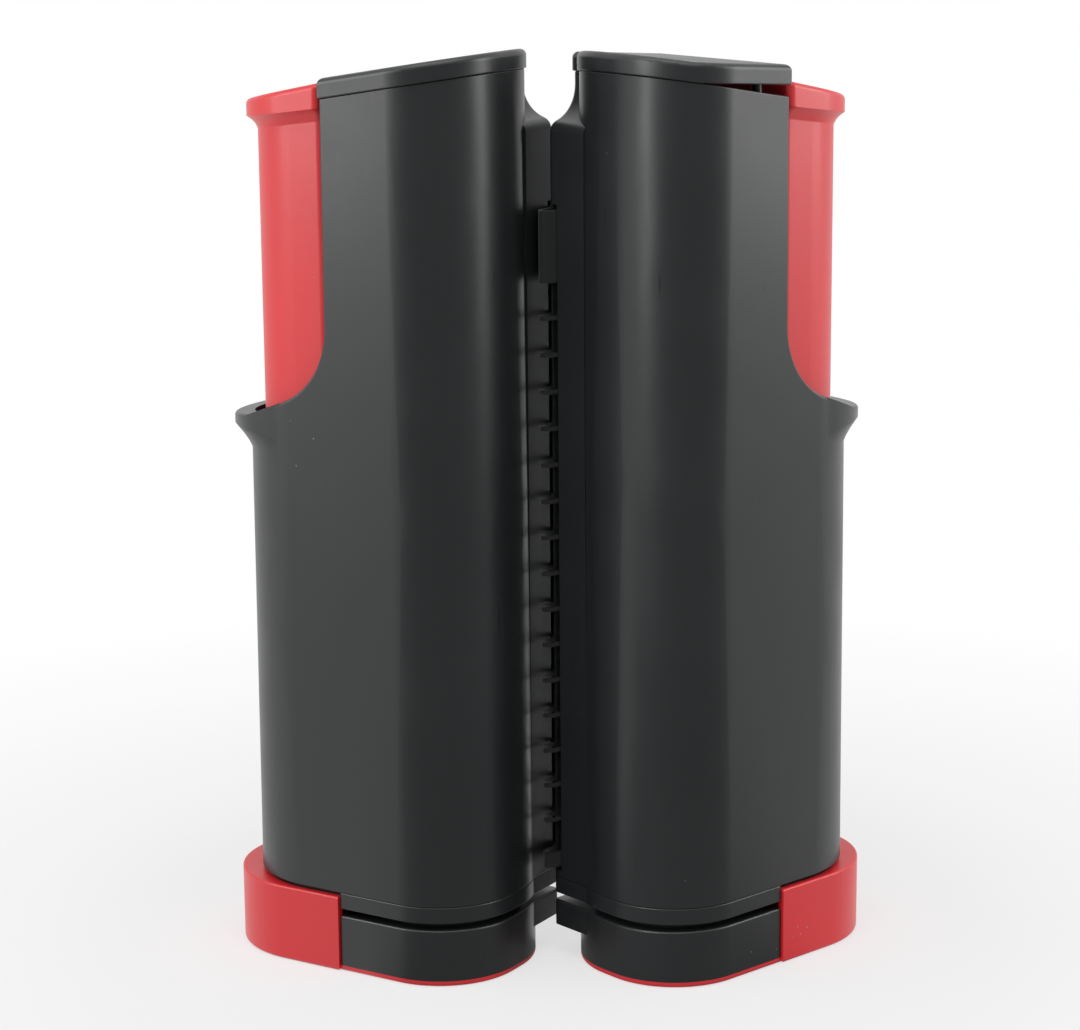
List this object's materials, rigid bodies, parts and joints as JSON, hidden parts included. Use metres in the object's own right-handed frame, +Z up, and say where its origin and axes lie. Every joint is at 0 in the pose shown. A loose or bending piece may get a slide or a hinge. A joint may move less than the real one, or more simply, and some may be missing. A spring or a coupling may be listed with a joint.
{
  "type": "table tennis net clamp",
  "caption": "Pair of upright table tennis net posts with red spring clamps that slide open under their housings and a retractable net on spring rollers between them.",
  "frame": {"origin": "centre of the bounding box on the ground, between the two posts, as they stand in the picture", "axes": "+Z up; +X from the left post towards the right post; the viewer of the picture looks along +Y"},
  "size_m": [0.1394, 0.061, 0.2011],
  "materials": {
    "black_shell": "satin moulded ABS, fine grain",
    "black_cap": "satin moulded ABS",
    "black_block": "satin moulded ABS",
    "red_slider": "satin-gloss moulded ABS",
    "red_foot": "satin-gloss moulded ABS",
    "pad_rubber": "matte",
    "screw_steel": "zinc plated",
    "rod_steel": "ground",
    "spring_steel": "drawn wire",
    "roller_aluminium": "drawn tube",
    "bush_plastic": "natural acetal",
    "net_fabric": "knotted polyester mesh"
  },
  "bodies": {
    "left_post": {"left_housing": "black_shell", "left_top_cap": "black_cap", "left_base_plate": "black_shell", "left_upper_jaw_pad": "pad_rubber", "left_base_screws": "screw_steel", "left_spring_rod": "rod_steel", "left_clamp_spring": "spring_steel", "left_roller_axle": "rod_steel", "left_roller_clip": "spring_steel", "left_rewind_spring": "spring_steel"},
    "left_jaw": {"left_clamp_slider": "red_slider", "left_clamp_foot": "red_foot", "left_jaw_block": "black_block", "left_lower_jaw_pad": "pad_rubber", "left_foot_screws": "screw_steel"},
    "left_roller": {"left_roller_tube": "roller_aluminium", "left_roller_bushes": "bush_plastic", "left_net_roll": "net_fabric"},
    "right_post": {"right_housing": "black_shell", "right_top_cap": "black_cap", "right_base_plate": "black_shell", "right_upper_jaw_pad": "pad_rubber", "right_base_screws": "screw_steel", "right_spring_rod": "rod_steel", "right_clamp_spring": "spring_steel", "right_roller_axle": "rod_steel", "right_roller_clip": "spring_steel", "right_rewind_spring": "spring_steel"},
    "right_jaw": {"right_clamp_slider": "red_slider", "right_clamp_foot": "red_foot", "right_jaw_block": "black_block", "right_lower_jaw_pad": "pad_rubber", "right_foot_screws": "screw_steel"},
    "right_roller": {"right_roller_tube": "roller_aluminium", "right_roller_bushes": "bush_plastic", "right_net_roll": "net_fabric"},
    "net": {"free_net": "net_fabric"}
  },
  "joints": [
    {"name": "left_jaw_slide", "type": "slide", "parent": "left_post", "child": "left_jaw", "axis": [0, 0, -1], "range_m": [0, 0.048], "stiffness_N_per_m": 300, "springref_m": -0.03, "deforming": ["left_clamp_spring"]},
    {"name": "left_roller_turn", "type": "hinge", "parent": "left_post", "child": "left_roller", "pos_m": [-0.02253, -0.0092, 0.094], "axis": [0, 0, 1], "range_deg": [-5380, 0]},
    {"name": "right_jaw_slide", "type": "slide", "parent": "right_post", "child": "right_jaw", "axis": [0, 0, -1], "range_m": [0, 0.048], "stiffness_N_per_m": 300, "springref_m": -0.03, "deforming": ["right_clamp_spring"]},
    {"name": "right_roller_turn", "type": "hinge", "parent": "right_post", "child": "right_roller", "pos_m": [0.02627, -0.0109, 0.094], "axis": [0, 0, 1], "range_deg": [0, 5380]},
    {"name": "net_pull", "type": "slide", "parent": "left_post", "child": "net", "axis": [0.8631, -0.505, 0], "range_m": [0, 1.7], "stiffness_N_per_m": 1.5, "springref_m": -0.4, "deforming": ["free_net"]},
    {"name": "post_fold", "type": "hinge", "parent": "net", "child": "right_post", "pos_m": [0.00212, -0.00962, 0.094], "axis": [0, 0, 1], "range_deg": [-72.8, 0], "deforming": ["free_net"]}
  ],
  "couplings": [
    {"joint": "left_roller_turn", "follows": "net_pull", "rad_per_m": -55.104},
    {"joint": "right_roller_turn", "follows": "net_pull", "rad_per_m": 55.104}
  ]
}
